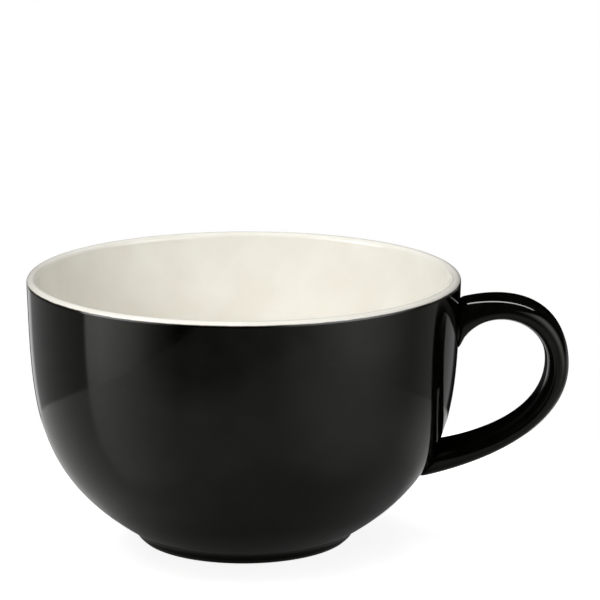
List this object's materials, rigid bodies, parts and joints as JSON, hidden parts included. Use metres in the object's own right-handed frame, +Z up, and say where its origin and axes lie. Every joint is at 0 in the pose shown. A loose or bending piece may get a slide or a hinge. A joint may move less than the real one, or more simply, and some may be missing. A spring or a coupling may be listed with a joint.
{
  "type": "cappuccino mug",
  "caption": "Wide round-bellied stoneware mug on a short foot ring, with an ear-shaped handle, black glaze outside and cream glaze inside, for cappuccino and other hot drinks.",
  "frame": {"origin": "middle of the mug's footprint, bowl and handle together, on the surface it stands on", "axes": "+X from the bowl's axis towards the handle, +Z up through the open rim, +Y away from the picture's viewer"},
  "size_m": [0.15, 0.12, 0.0751],
  "materials": {
    "stoneware": "bare fired stoneware, matt, fine grain",
    "slip": "fired slip, matt",
    "cream_glaze": "glossy warm cream glaze",
    "black_glaze": "glossy deep black glaze"
  },
  "bodies": {
    "root": {"stoneware_bowl": "stoneware", "handle": "stoneware", "upper_slip_joint": "slip", "lower_slip_joint": "slip", "inner_glaze": "cream_glaze", "outer_glaze": "black_glaze", "handle_glaze": "black_glaze", "base_glaze": "black_glaze"}
  },
  "joints": []
}
